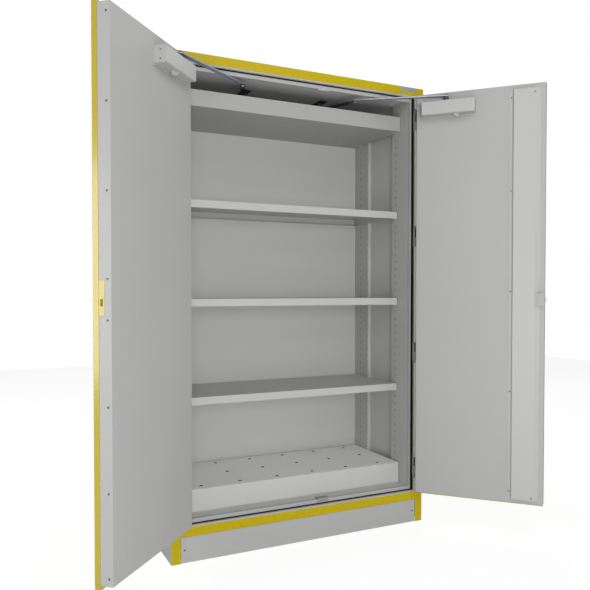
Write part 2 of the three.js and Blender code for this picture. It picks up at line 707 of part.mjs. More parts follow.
// Closer: rounded body on a mounting plate, with the spindle on top and the valve boss below
const closerStart = side => (side < 0 ? leftCloserFromHingeEdge : rightCloserFromHingeEdge);
const closerN = -closerPlateSheet - seat * 2;
const spindleN = closerN - closerDepth / 2;
function closerBody(side) {
  const outerN = closerN - closerDepth;
  const [y0, y1] = [doorY(closerN), doorY(outerN)];
  const section = new THREE.Shape();
  section.moveTo(y0, closerBottom);
  section.lineTo(y1 - closerRound, closerBottom);
  section.absarc(y1 - closerRound, closerBottom + closerRound, closerRound, -Math.PI / 2, 0);
  section.lineTo(y1, closerTop - closerRound);
  section.absarc(y1 - closerRound, closerTop - closerRound, closerRound, 0, Math.PI / 2);
  section.lineTo(y0, closerTop);
  const start = closerStart(side);
  const body = alongX(section, doorX(start + closerLength), doorX(start));
  const spindle = disc(spindleRadius, closerTop - cutOverrun, closerTop + spindleHeight)
    .translate(doorX(spindleFromHingeEdge), doorY(spindleN), 0);
  const bossU = spindleFromHingeEdge + closerBossFromSpindle;
  const boss = disc(closerBossRadius, -closerBossLength / 2, closerBossLength / 2).rotateX(-Math.PI / 2)
    .translate(doorX(bossU), doorY(spindleN), closerBottom);
  return join(body, spindle, boss);
}

function closerPlate(side) {
  const start = closerStart(side);
  return doorBlock(start - closerPlateMargin, start + closerLength + closerPlateMargin,
    -seat - closerPlateSheet, -seat, closerBottom - closerPlateBelow, closerTop + closerPlateAbove);
}

const doorGroups = {};
for (const [hand, side] of sides) {
  const group = new THREE.Group();
  group.position.set(side * axisX, axisY, 0);
  group.rotation.z = side * openAngle;
  cabinet.add(group);
  doorGroups[hand] = group;
  add(group, `${hand}_door_skin`, handed(doorSkin(side), side), yellowPaint);
  add(group, `${hand}_door_liner`, handed(doorLiner(side), side), greyPaint);
  add(group, `${hand}_door_core`, handed(doorCore(side), side), boardWhite);
  add(group, `${hand}_closer_plate`, handed(closerPlate(side), side), greyPaint);
  add(group, `${hand}_closer_body`, handed(closerBody(side), side), lightPaint);
}

// Free edge of the left door: screwed strip with the strike box let into it
{
  const [u0, u1] = [doorWidth - doorSheet, doorWidth];
  const strip = cut(doorBlock(u0, u1, 0, skinEdge - seat, doorBottom, doorTop),
    doorBlock(u0 - cutOverrun, u1 + cutOverrun, strikeN[0] - seat, skinEdge + cutOverrun,
      strikeZ[0] - seat, strikeZ[1] + seat));
  add(doorGroups.left, 'left_edge_strip', mirrored(strip), lightPaint);
  const strike = cut(doorBlock(u1 - strikeDepth, u1, ...strikeN, ...strikeZ),
    latchSlot(u1 - latchThrow - seat * 2, u1 + cutOverrun));
  add(doorGroups.left, 'left_strike', mirrored(strike), yellowPaint);
}

// Lock of the right door
{
  const door = doorGroups.right;
  const [coverLow, coverHigh] = [openingBottom + seat + rodThrow, openingTop - seat - rodThrow];
  const u3 = doorWidth - coverFromFreeEdge;
  const u2 = u3 - coverSlope;
  const u1 = u2 - coverFlat;
  const u0 = u1 - coverFoot;
  const at = (u, n) => [doorX(u), doorY(n)];
  const back = -seat;
  const front = back - coverProud;
  const outer = outline([at(u0, back), at(u3, back), at(u2, front), at(u1, front),
    at(u1, back - coverSheet), at(u0, back - coverSheet)]);
  const inner = outline([at(u1 + coverSheet, back + cutOverrun), at(u3 - coverSheet * 2, back + cutOverrun),
    at(u3 - coverSheet * 2, back), at(u2, front + coverSheet), at(u1 + coverSheet, front + coverSheet)]);
  const housingU = [doorWidth - latchHousingWidth, doorWidth];
  const housingZ = [latchHeight - latchHousingHeight / 2, latchHeight + latchHousingHeight / 2];
  const rodHole = (z0, z1) => doorBlock(rodU - rodWidth / 2 - seat * 2, rodU + rodWidth / 2 + seat * 2,
    back - rodThickness - seat * 2, back + cutOverrun, z0, z1);
  const cover = cut(alongZ(outer, coverLow, coverHigh),
    alongZ(inner, coverLow + coverSheet, coverHigh - coverSheet),
    rodHole(coverLow - cutOverrun, coverLow + coverSheet + cutOverrun),
    rodHole(coverHigh - coverSheet - cutOverrun, coverHigh + cutOverrun),
    doorBlock(housingU[0] - seat, housingU[1], front - cutOverrun, back + cutOverrun,
      housingZ[0] - seat, housingZ[1] + seat));
  add(door, 'lock_cover', cover, lightPaint);
  add(door, 'latch_housing', cut(
    doorBlock(...housingU, front, back, ...housingZ),
    doorBlock(housingU[0] + coverSheet, housingU[1] - coverSheet, front + coverSheet, back + cutOverrun,
      housingZ[0] + coverSheet, housingZ[1] - coverSheet)), greyPaint);

  const latchCut = latchSlot(lockU[1] - latchTail, lockU[1] + cutOverrun);
  add(door, 'lock_case', cut(doorBlock(...lockU, ...lockN, ...lockZ), latchCut,
    doorDisc(leverU, latchHeight, spindleBore, latchN + latchThickness / 2, lockN[1] + cutOverrun)), zincSteel);

  const plateZ = [(latchHeight + plugHeight) / 2 - plateHeight / 2, (latchHeight + plugHeight) / 2 + plateHeight / 2];
  const plateN = [doorThickness + seat, doorThickness + seat + plateThickness];
  add(door, 'handle_plate', cut(
    doorBlock(leverU - plateWidth / 2, leverU + plateWidth / 2, ...plateN, ...plateZ),
    doorDisc(leverU, latchHeight, spindleBore, plateN[0] - cutOverrun, plateN[1] + cutOverrun),
    doorDisc(leverU, plugHeight, plugRadius + seat, plateN[0] - cutOverrun, plateN[1] + cutOverrun)), brushedSteel);

  const gripN = plateN[1] + leverStandoff;
  const grip = new THREE.Shape();
  const [gripX, gripEnd] = [doorX(leverU), doorX(leverU - leverLength)];
  grip.moveTo(gripX, latchHeight - leverWidth / 2);
  grip.lineTo(gripEnd, latchHeight - leverWidth / 2);
  grip.absarc(gripEnd, latchHeight, leverWidth / 2, -Math.PI / 2, Math.PI / 2);
  grip.lineTo(gripX, latchHeight + leverWidth / 2);
  grip.absarc(gripX, latchHeight, leverWidth / 2, Math.PI / 2, Math.PI * 1.5);
  const spindleHalf = spindleSize / 2;
  add(door, 'lever_handle', join(
    alongY(grip, doorY(gripN), doorY(gripN - leverThickness)),
    doorDisc(leverU, latchHeight, leverNeckRadius, plateN[1] + seat, gripN - leverThickness / 2),
    doorBlock(leverU - spindleHalf, leverU + spindleHalf, latchN + latchThickness / 2 + seat * 2,
      plateN[1] + leverThickness, latchHeight - spindleHalf, latchHeight + spindleHalf)), brushedSteel);

  const plugEnd = plateN[1] + plugProud;
  add(door, 'lock_plug', cut(
    doorDisc(leverU, plugHeight, plugRadius, lockN[1] + seat, plugEnd),
    doorBlock(leverU - keyholeWidth / 2, leverU + keyholeWidth / 2, plugEnd - plugProud, plugEnd + cutOverrun,
      plugHeight - keyholeLength / 2, plugHeight + keyholeLength / 2)), brushedSteel);

  const noseEnd = doorWidth + latchThrow;
  const latchHalf = latchThickness / 2;
  const bolt = outline([
    at(lockU[1] - latchTail + latchThrow + seat, latchN - latchHalf), at(doorWidth, latchN - latchHalf),
    at(noseEnd, latchN - latchHalf + latchThrow / 2), at(noseEnd, latchN + latchHalf),
    at(lockU[1] - latchTail + latchThrow + seat, latchN + latchHalf)].reverse());
  add(door, 'latch_bolt', alongZ(bolt, latchHeight - latchNose / 2, latchHeight + latchNose / 2), brushedSteel);

  const [rodU0, rodU1] = [rodU - rodWidth / 2, rodU + rodWidth / 2];
  const rodMiddle = (lockZ[0] + lockZ[1]) / 2;
  const tipLength = rodThrow + seat;
  const upperShoulder = doorBlock(rodU0 - cutOverrun, rodU1 + cutOverrun, rodTipN, back + cutOverrun,
    coverHigh - tipLength, coverHigh + cutOverrun);
  const lowerShoulder = doorBlock(rodU0 - cutOverrun, rodU1 + cutOverrun, rodTipN, back + cutOverrun,
    coverLow - cutOverrun, coverLow + tipLength);
  const rod = (z0, z1, shoulder) => cut(doorBlock(rodU0, rodU1, back - rodThickness, back, z0, z1), shoulder);
  add(door, 'upper_lock_rod', rod(rodMiddle + rodMiddleGap / 2, coverHigh, upperShoulder), zincSteel);
  add(door, 'lower_lock_rod', rod(coverLow, rodMiddle - rodMiddleGap / 2, lowerShoulder), zincSteel);
}

// Closer arms: the arm runs from its spindle to the elbow, the forearm from there to the ceiling bracket
for (const [hand, side] of sides) {
  const spindle = new THREE.Vector2(doorX(spindleFromHingeEdge), doorY(spindleN))
    .rotateAround(new THREE.Vector2(0, 0), openAngle).add(new THREE.Vector2(axisX, axisY));
  const bracket = new THREE.Vector2(bracketFromCentre, bracketFromTrim);
  const span = bracket.clone().sub(spindle);
  const along = (span.lengthSq() + armLength ** 2 - forearmLength ** 2) / span.length() / 2;
  const aside = Math.sqrt(armLength ** 2 - along ** 2);
  const towards = span.clone().normalize();
  const elbow = spindle.clone().addScaledVector(towards, along)
    .addScaledVector(new THREE.Vector2(-towards.y, towards.x), aside);
  const bar = (length, startWidth, endWidth, z0) => {
    const shape = new THREE.Shape();
    shape.absarc(0, 0, startWidth / 2, Math.PI / 2, Math.PI * 1.5);
    shape.absarc(length, 0, endWidth / 2, -Math.PI / 2, Math.PI / 2);
    return alongZ(shape, z0, z0 + armThickness);
  };
  const angle = (from, to) => Math.atan2(to.y - from.y, to.x - from.x);

  const arm = bar(armLength, armWidth, armTipWidth, armBottom);
  const armMesh = add(cabinet, `${hand}_closer_arm`, handed(arm.rotateZ(angle(spindle, elbow)), side), zincSteel);
  armMesh.position.set(side * spindle.x, spindle.y, 0);

  const forearmTop = armBottom - seat;
  const forearmBottom = forearmTop - armThickness;
  const rivet = disc(rivetRadius, forearmBottom - rivetHead, forearmBottom + cutOverrun)
    .translate(forearmLength, 0, 0);
  const forearm = join(bar(forearmLength, forearmWidth, forearmWidth, forearmBottom), rivet);
  const forearmMesh = add(cabinet, `${hand}_closer_forearm`,
    handed(forearm.rotateZ(angle(bracket, elbow)), side), zincSteel);
  forearmMesh.position.set(side * bracket.x, bracket.y, 0);

  const plate = block(bracket.x - bracketWidth / 2, bracket.x + bracketWidth / 2,
    bracket.y - bracketLength / 2, bracket.y + bracketLength / 2, ceiling - bracketPlateSheet, ceiling);
  const stud = disc(bracketStudRadius, forearmTop + seat, ceiling - bracketPlateSheet + cutOverrun)
    .translate(bracket.x, bracket.y, 0);
  add(cabinet, `${hand}_closer_bracket`, handed(join(plate, stud), side), zincSteel);
}

// The origin is the middle of the bottom of the whole part as it stands at rest
const bounds = new THREE.Box3().setFromObject(cabinet);
cabinet.position.set(-(bounds.min.x + bounds.max.x) / 2, -(bounds.min.y + bounds.max.y) / 2, -bounds.min.z);
cabinet.updateMatrixWorld(true);

export default cabinet;
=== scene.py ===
import json
import math
import bmesh
import bpy
import numpy as np
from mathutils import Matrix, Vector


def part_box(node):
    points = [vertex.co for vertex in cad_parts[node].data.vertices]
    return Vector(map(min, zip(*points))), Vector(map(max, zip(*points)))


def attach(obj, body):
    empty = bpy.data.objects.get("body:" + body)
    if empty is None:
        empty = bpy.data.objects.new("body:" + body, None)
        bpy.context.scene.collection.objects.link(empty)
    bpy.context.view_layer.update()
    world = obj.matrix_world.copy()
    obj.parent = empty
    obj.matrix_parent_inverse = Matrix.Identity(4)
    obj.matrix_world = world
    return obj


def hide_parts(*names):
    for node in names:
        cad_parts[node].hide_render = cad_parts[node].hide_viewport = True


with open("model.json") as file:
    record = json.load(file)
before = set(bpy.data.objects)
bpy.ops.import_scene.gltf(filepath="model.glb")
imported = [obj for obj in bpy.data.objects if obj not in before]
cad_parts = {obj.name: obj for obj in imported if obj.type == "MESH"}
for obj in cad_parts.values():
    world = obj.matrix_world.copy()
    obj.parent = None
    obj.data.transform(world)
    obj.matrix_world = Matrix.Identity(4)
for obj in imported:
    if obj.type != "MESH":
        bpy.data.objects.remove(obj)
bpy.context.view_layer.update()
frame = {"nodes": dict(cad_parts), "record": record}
nodes = frame["nodes"]
record = frame["record"]
bodyOf = {node: body for body, names in record["behaviour"]["bodies"].items() for node in names}
slotOf = {part["node"]: part["material_slot"] for part in record["subparts"]}
jointOf = {joint["name"]: joint for joint in record["behaviour"]["joints"]}
mm = 0.001
print("frame loaded:", len(nodes), "nodes")

# Camera: it stands to the left of the cabinet and is turned to the right
cameraView = {
    "place": (-1.23264, -2.48677, 1.04278),
    "yaw": 25.71,        # degrees to the right of straight ahead
    "pitch": -1.28,
    "lens": 40.184,
    "sensor": 36,        # mm, as is the lens
    "rise": 0.01888,     # the optical axis lies a little below the middle of the picture
    "nearest": 0.05,     # metres
}


def makeCamera(view):
    data = bpy.data.cameras.new("camera")
    data.sensor_width = view["sensor"]
    data.sensor_fit = "HORIZONTAL"
    data.lens = view["lens"]
    data.shift_y = view["rise"]
    data.clip_start = view["nearest"]
    camera = bpy.data.objects.new("camera", data)
    camera.location = view["place"]
    camera.rotation_euler = (math.radians(90 + view["pitch"]), 0, math.radians(-view["yaw"]))
    bpy.context.scene.collection.objects.link(camera)
    bpy.context.scene.camera = camera


makeCamera(cameraView)
print("camera set")


# Materials
def newMaterial(name):
    material = bpy.data.materials.new(name)
    material.use_nodes = True
    tree = material.node_tree
    return material, tree, tree.nodes["Principled BSDF"]


noiseDetail = {"drift": 3, "rough": 4, "peel": 2, "grain": 5, "spangle": 2, "matt": 6}


# Noise on Object coordinates, stretched along an axis where a finish has a grain
def noiseOn(tree, scale, detail, stretch=(1, 1, 1)):
    place = tree.nodes.new("ShaderNodeTexCoord")
    mapping = tree.nodes.new("ShaderNodeMapping")
    mapping.inputs["Scale"].default_value = stretch
    noise = tree.nodes.new("ShaderNodeTexNoise")
    noise.inputs["Scale"].default_value = scale
    noise.inputs["Detail"].default_value = detail
    tree.links.new(place.outputs["Object"], mapping.inputs["Vector"])
    tree.links.new(mapping.outputs["Vector"], noise.inputs["Vector"])
    return noise.outputs["Fac"]


# A colour or a grey that goes from low to high as the factor goes from start to end
def rampOf(tree, factor, low, high, start=0.3, end=0.7):
    ramp = tree.nodes.new("ShaderNodeValToRGB")
    first, last = ramp.color_ramp.elements
    first.position, last.position = start, end
    first.color = (*low, 1) if isinstance(low, tuple) else (low, low, low, 1)
    last.color = (*high, 1) if isinstance(high, tuple) else (high, high, high, 1)
    tree.links.new(factor, ramp.inputs["Fac"])
    return ramp.outputs["Color"]


def addBump(tree, shader, factor, height):
    bump = tree.nodes.new("ShaderNodeBump")
    bump.inputs["Strength"].default_value = 1
    bump.inputs["Distance"].default_value = height
    tree.links.new(factor, bump.inputs["Height"])
    tree.links.new(bump.outputs["Normal"], shader.inputs["Normal"])


# A colour a little darker and a little lighter than the given one
def drifting(colour, drift):
    return tuple(tuple(channel * share for channel in colour) for share in (1 - drift, 1 + drift))


# Powder coat: a fine peel in the bump, a faint drift in the colour, roughness that wanders a little
def powderCoat(name, look):
    material, tree, shader = newMaterial(name)
    darker, lighter = drifting(look["colour"], look["drift"])
    tree.links.new(rampOf(tree, noiseOn(tree, look["driftScale"], noiseDetail["drift"]), darker, lighter),
                   shader.inputs["Base Color"])
    wander = noiseOn(tree, look["roughScale"], noiseDetail["rough"])
    tree.links.new(rampOf(tree, wander, look["smooth"], look["rough"]), shader.inputs["Roughness"])
    addBump(tree, shader, noiseOn(tree, look["peelScale"], noiseDetail["peel"]), look["peelHeight"])
    shader.inputs["Specular IOR Level"].default_value = look["gloss"]
    shader.inputs["Coat Weight"].default_value = look.get("coat", 0)
    shader.inputs["Coat Roughness"].default_value = look.get("coatRough", 0.3)
    return material


# Zinc plate, satin steel or dark steel: metallic, with a grain drawn out along one axis
def platedSteel(name, look):
    material, tree, shader = newMaterial(name)
    shader.inputs["Metallic"].default_value = look["metal"]
    grain = noiseOn(tree, look["grainScale"], noiseDetail["grain"], look["grainStretch"])
    darker, lighter = drifting(look["colour"], look["drift"])
    tree.links.new(rampOf(tree, noiseOn(tree, look["spangleScale"], noiseDetail["spangle"]), darker, lighter),
                   shader.inputs["Base Color"])
    tree.links.new(rampOf(tree, grain, look["smooth"], look["rough"]), shader.inputs["Roughness"])
    addBump(tree, shader, grain, look["grainHeight"])
    return material


# Rubber or paper-faced board: one grain for the colour, the roughness and the bump
def mattFinish(name, look):
    material, tree, shader = newMaterial(name)
    darker, lighter = drifting(look["colour"], look["drift"])
    grain = noiseOn(tree, look["grainScale"], noiseDetail["matt"])
    tree.links.new(rampOf(tree, grain, darker, lighter), shader.inputs["Base Color"])
    tree.links.new(rampOf(tree, grain, look["smooth"], look["rough"]), shader.inputs["Roughness"])
    addBump(tree, shader, grain, look["grainHeight"])
    shader.inputs["Specular IOR Level"].default_value = look["gloss"]
    return material


# Looks: heights of the bump are in metres, scales count features over a metre
yellowLook = {
    "colour": (0.5, 0.385, 0.005), "drift": 0.03, "driftScale": 3, "gloss": 0.12,
    "smooth": 0.24, "rough": 0.32, "roughScale": 40, "peelScale": 420, "peelHeight": 0.008 * mm,
}
greyLook = {
    "colour": (0.42, 0.42, 0.418), "drift": 0.015, "driftScale": 1.6, "gloss": 0.2,
    "smooth": 0.45, "rough": 0.58, "roughScale": 60, "peelScale": 900, "peelHeight": 0.05 * mm,
}
doorYellowLook = {**yellowLook, "colour": (0.46, 0.355, 0.005), "gloss": 0.3, "coat": 1, "coatRough": 0.2,
                  "drift": 0.015}
frameLook = {**greyLook, "colour": (0.41, 0.41, 0.405)}
linerLook = {**greyLook, "colour": (0.54, 0.54, 0.535)}
ceilingLook = {**greyLook, "colour": (0.58, 0.58, 0.575)}
shelfLook = {
    "colour": (0.475, 0.478, 0.465), "drift": 0.015, "driftScale": 2.2, "gloss": 0.25,
    "smooth": 0.38, "rough": 0.5, "roughScale": 55, "peelScale": 800, "peelHeight": 0.04 * mm,
}
# The top tray takes a darker copy of the shelf paint: the darkening is painted shade, standing for the shade
# under the header
trayShadeLook = {**shelfLook, "colour": (0.38, 0.38, 0.375)}
sumpLook = {**shelfLook, "colour": (0.53, 0.532, 0.515)}
# The sump inlay's pale colour is partly its own paint and partly painted light, standing for light falling on
# its top from above
inlayLitLook = {**shelfLook, "colour": (0.9, 0.905, 0.88)}
coverLook = {
    "colour": (0.475, 0.48, 0.47), "drift": 0.015, "driftScale": 2, "gloss": 0.3,
    "smooth": 0.34, "rough": 0.46, "roughScale": 50, "peelScale": 700, "peelHeight": 0.04 * mm,
}
edgeStripLook = {**coverLook, "colour": (0.44, 0.445, 0.43)}
# The hinge flange takes the grey paint with a yellow tint: the grey is its paint, the tint is painted
# reflected light from the yellow trim
flangeBounceLook = {**greyLook, "colour": (0.43, 0.43, 0.36)}
# The slot plates are near-black: painted shade, standing for the shade inside the open slots
slotShadeLook = {**greyLook, "colour": (0.09, 0.09, 0.085)}
labelLook = {
    "colour": (0.3, 0.33, 0.35), "drift": 0.03, "driftScale": 25, "gloss": 0.3,
    "smooth": 0.3, "rough": 0.4, "roughScale": 90, "peelScale": 1200, "peelHeight": 0.01 * mm,
}
sealLook = {
    "colour": (0.009, 0.009, 0.008), "drift": 0.35, "grainScale": 500, "gloss": 0.1,
    "smooth": 0.6, "rough": 0.85, "grainHeight": 0.08 * mm,
}
edgeSealLook = {**sealLook, "colour": (0.2, 0.09, 0.04), "drift": 0.2}
boardLook = {
    "colour": (0.68, 0.64, 0.56), "drift": 0.08, "grainScale": 140, "gloss": 0.2,
    "smooth": 0.85, "rough": 0.97, "grainHeight": 0.25 * mm,
}
zincLook = {
    "colour": (0.52, 0.53, 0.54), "drift": 0.1, "metal": 1, "spangleScale": 90,
    "grainScale": 250, "grainStretch": (1, 1, 8), "smooth": 0.3, "rough": 0.48, "grainHeight": 0.02 * mm,
}
satinLook = {
    "colour": (0.6, 0.605, 0.61), "drift": 0.05, "metal": 1, "spangleScale": 30,
    "grainScale": 300, "grainStretch": (12, 12, 1), "smooth": 0.24, "rough": 0.4, "grainHeight": 0.02 * mm,
}
armLook = {
    "colour": (0.31, 0.325, 0.38), "drift": 0.12, "metal": 0.5, "spangleScale": 60,
    "grainScale": 300, "grainStretch": (1, 1, 6), "smooth": 0.4, "rough": 0.55, "grainHeight": 0.02 * mm,
}
# Dark steel for the spindle collars and arm nuts; on the forearms and their brackets the near-black colour is
# painted shade, standing for the shade they lie in under the ceiling
darkSteelAndShadeLook = {
    "colour": (0.035, 0.035, 0.038), "drift": 0.15, "metal": 0.3, "spangleScale": 80,
    "grainScale": 300, "grainStretch": (1, 1, 6), "smooth": 0.45, "rough": 0.65, "grainHeight": 0.02 * mm,
}
keeperLook = {
    "colour": (0.26, 0.25, 0.22), "drift": 0.12, "metal": 0.4, "spangleScale": 120,
    "grainScale": 260, "grainStretch": (6, 1, 1), "smooth": 0.4, "rough": 0.6, "grainHeight": 0.02 * mm,
}
# Dark steel for the hinge sleeves and leaves; on the screw heads the dark colour is painted shade, standing
# for the shade in their sockets
hingeAndScrewShadeLook = {
    "colour": (0.12, 0.12, 0.09), "drift": 0.15, "metal": 0.4, "spangleScale": 120,
    "grainScale": 280, "grainStretch": (1, 1, 5), "smooth": 0.4, "rough": 0.6, "grainHeight": 0.02 * mm,
}

yellowCoat = powderCoat("yellowCoat", yellowLook)
doorYellow = powderCoat("doorYellow", doorYellowLook)
greyCoat = powderCoat("greyCoat", greyLook)
frameCoat = powderCoat("frameCoat", frameLook)
linerCoat = powderCoat("linerCoat", linerLook)
ceilingCoat = powderCoat("ceilingCoat", ceilingLook)
shelfCoat = powderCoat("shelfCoat", shelfLook)
trayShadedCoat = powderCoat("trayShadedCoat", trayShadeLook)
inlayLitCoat = powderCoat("inlayLitCoat", inlayLitLook)
sumpCoat = powderCoat("sumpCoat", sumpLook)
coverCoat = powderCoat("coverCoat", coverLook)
edgeStripCoat = powderCoat("edgeStripCoat", edgeStripLook)
flangeBounceCoat = powderCoat("flangeBounceCoat", flangeBounceLook)
slotShadeCoat = powderCoat("slotShadeCoat", slotShadeLook)
labelCoat = powderCoat("labelCoat", labelLook)
sealBlack = mattFinish("sealBlack", sealLook)
edgeSealBrown = mattFinish("edgeSealBrown", edgeSealLook)
boardFace = mattFinish("boardFace", boardLook)
zincPlate = platedSteel("zincPlate", zincLook)
satinSteel = platedSteel("satinSteel", satinLook)
armSteel = platedSteel("armSteel", armLook)
darkSteelAndShade = platedSteel("darkSteelAndShade", darkSteelAndShadeLook)
keeperSteel = platedSteel("keeperSteel", keeperLook)
hingeSteelAndScrewShade = platedSteel("hingeSteelAndScrewShade", hingeAndScrewShadeLook)

slotMaterials = {
    "yellow_paint": yellowCoat, "grey_paint": greyCoat, "light_paint": shelfCoat, "seal_rubber": sealBlack,
    "fire_board": boardFace, "zinc_steel": zincPlate, "satin_steel": satinSteel,
}
ownMaterials = {
    "left_door_skin": doorYellow, "right_door_skin": doorYellow, "left_strike": doorYellow,
    "inner_frame": frameCoat, "top_tray": trayShadedCoat, "sump_inlay": inlayLitCoat, "ceiling_liner": ceilingCoat,
    "lock_cover": coverCoat, "left_edge_strip": edgeStripCoat,
    "left_liner": linerCoat, "right_liner": linerCoat, "back_liner": linerCoat, "floor_liner": linerCoat,
    "left_closer_arm": armSteel, "right_closer_arm": armSteel,
    # forearms and brackets: near-black, as painted shade under the ceiling
    "left_closer_forearm": darkSteelAndShade, "right_closer_forearm": darkSteelAndShade,
    "left_closer_bracket": darkSteelAndShade, "right_closer_bracket": darkSteelAndShade,
    "lower_rod_keeper": keeperSteel, "upper_rod_keeper": frameCoat, "sump_tray": sumpCoat,
}


def materialOf(node):
    return ownMaterials.get(node, slotMaterials[slotOf[node]])


for node, shape in nodes.items():
    shape.data.materials.clear()
    shape.data.materials.append(materialOf(node))
print("finishes on", len(nodes), "nodes")


# New piece from points and faces; smooth is the angle in degrees from which an edge stays sharp
def addPiece(name, points, faces, body, material, smooth):
    mesh = bpy.data.meshes.new(name)
    mesh.from_pydata(points.tolist(), [], faces.tolist())
    tidyMesh(mesh)
    mesh.materials.append(material)
    mesh.shade_smooth()
    mesh.set_sharp_from_angle(angle=math.radians(smooth))
    piece = bpy.data.objects.new(name, mesh)
    bpy.context.scene.collection.objects.link(piece)
    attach(piece, body)


joinDistance = 0.0005 * mm


# Joins points that coincide, drops the faces that this leaves empty and turns the rest outwards
def tidyMesh(mesh):
    shape = bmesh.new()
    shape.from_mesh(mesh)
    bmesh.ops.remove_doubles(shape, verts=shape.verts, dist=joinDistance)
    bmesh.ops.recalc_face_normals(shape, faces=shape.faces)
    shape.to_mesh(mesh)
    shape.free()


# Four-sided faces of a grid of rows and columns, whose last column meets the first
def gridFaces(rows, columns):
    row, column = np.meshgrid(np.arange(rows - 1), np.arange(columns), indexing="ij")
    after = (column + 1) % columns
    return np.stack([row * columns + column, row * columns + after,
                     (row + 1) * columns + after, (row + 1) * columns + column], axis=-1).reshape(-1, 4)


# Turned shape: each ring of the profile has a radius and a height, and a point on it lies at
# (radius cos t, radius sin t, height)
def turnedShape(profile, sides):
    profile = np.array(profile)
    turn = np.arange(sides) * 2 * math.pi / sides
    points = np.stack([np.outer(profile[:, 0], np.cos(turn)), np.outer(profile[:, 0], np.sin(turn)),
                       np.repeat(profile[:, 1:], sides, axis=1)], axis=-1).reshape(-1, 3)
    return points, gridFaces(len(profile), sides)


# Section of a ring in mm: a closed rectangle between two radii and two heights
def ringSection(inside, outside, low, high):
    return np.array([[inside, low], [outside, low], [outside, high], [inside, high], [inside, low]]) * mm


# Plate with rounded corners: the rim runs round four corner centres at the corner's radius, and each
# level of the profile draws that rim in by an inset at a height
def plateShape(width, height, corner, profile, cornerSteps=6):
    turn = (np.arange(4)[:, None] + np.linspace(0, 1, cornerSteps)[None, :]) * math.pi / 2
    signs = np.array([[1, 1], [-1, 1], [-1, -1], [1, -1]])
    centre = signs[:, None, :] * (np.array([width, height]) / 2 - corner)
    rim = (centre + corner * np.stack([np.cos(turn), np.sin(turn)], axis=-1)).reshape(-1, 2)
    profile = np.array(profile)
    drawn = 1 - profile[:, :1, None] / np.array([width / 2, height / 2])
    across = rim[None] * np.clip(drawn, 0, 1)
    depth = np.broadcast_to(profile[:, 1][:, None, None], (len(profile), len(rim), 1))
    return np.concatenate([across, depth], axis=-1).reshape(-1, 3), gridFaces(len(profile), len(rim))


# Three unit directions as columns: two across the axis, and the axis itself last
def basisAlong(axis):
    axis = np.array(axis, float) / np.linalg.norm(axis)
    across = np.cross((0, 0, 1) if abs(axis[2]) < 0.9 else (1, 0, 0), axis)
    across /= np.linalg.norm(across)
    return np.column_stack([across, np.cross(axis, across), axis])


# The same shape at several places, each turned to its own axis
def addCopies(name, shape, places, body, material, smooth=35):
    shapePoints, shapeFaces = shape
    points = np.concatenate([shapePoints @ basisAlong(axis).T + np.array(place) for place, axis in places])
    faces = np.concatenate([shapeFaces + index * len(shapePoints) for index in range(len(places))])
    addPiece(name, points, faces, body, material, smooth)


# One shape in its own three directions: origin + x along + y aside + z up
def addLaid(name, shape, origin, along, aside, up, body, material, smooth=35):
    points = np.array(origin) + shape[0] @ np.array([along, aside, up], float)
    addPiece(name, points, shape[1], body, material, smooth)


# Flat plate with a soft front edge, its back at height 0 and its centre closed
def flatPlate(width, height, corner, thickness, soft):
    middle = max(width, height) / 2
    profile = [[middle, 0], [0, 0], [0, thickness - soft], [soft, thickness], [middle, thickness]]
    return plateShape(width, height, corner, profile, cornerSteps=3)


# Pan head with a round socket, its flat side at height 0; rise scales its height alone
def screwHead(radius, rise=1.0, sides=16):
    profile = np.array([[0, 0], [1, 0], [1, 0.25], [0.8, 0.5], [0.5, 0.6], [0.44, 0.15], [0, 0.1]])
    return turnedShape(profile * (radius, radius * rise), sides)


# Places on a door: u runs from the hinge edge to the free edge, n from the inner face to the outer face
doorPlan = {"edgeFromAxis": 2, "innerFaceFromAxis": 32.7}


def onDoor(hand, u, n, z):
    joint = jointOf[hand + "_door_hinge"]
    side = 1 if hand == "right" else -1
    turn = math.radians(max(abs(end) for end in joint["range_deg"]))
    x, y = -doorPlan["edgeFromAxis"] - u, doorPlan["innerFaceFromAxis"] - n
    return (joint["pos_m"][0] + side * (x * math.cos(turn) - y * math.sin(turn)) * mm,
            joint["pos_m"][1] + (x * math.sin(turn) + y * math.cos(turn)) * mm, z * mm)


def doorDirection(hand, u, n):
    direction = np.array(onDoor(hand, u, n, 0)) - np.array(onDoor(hand, 0, 0, 0))
    return direction / np.linalg.norm(direction)


# Label plate on the top band of the trim, left blank. All layouts are in mm
labelLayout = {
    "fromRight": 82.3, "fromTop": 11, "width": 84, "height": 17, "thickness": 0.8, "corner": 1.5,
    "edgeShare": 0.7, "bevel": 0.3, "pastMiddle": 1000, "smooth": 40,
}


def addLabel(layout):
    low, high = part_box("trim_frame")
    thickness = layout["thickness"] * mm
    closed = layout["pastMiddle"] * mm       # an inset past the middle closes the plate
    profile = [(closed, 0), (0, 0), (0, layout["edgeShare"] * thickness), (layout["bevel"] * mm, thickness),
               (closed, thickness)]
    points, faces = plateShape(layout["width"] * mm, layout["height"] * mm, layout["corner"] * mm, profile)
    middle = (high[0] - layout["fromRight"] * mm, low[1], high[2] - layout["fromTop"] * mm)
    placed = np.column_stack([points[:, 0], -points[:, 2], points[:, 1]]) + middle
    addPiece("label_plate", placed, faces, "root", labelCoat, layout["smooth"])


addLabel(labelLayout)
print("label added")

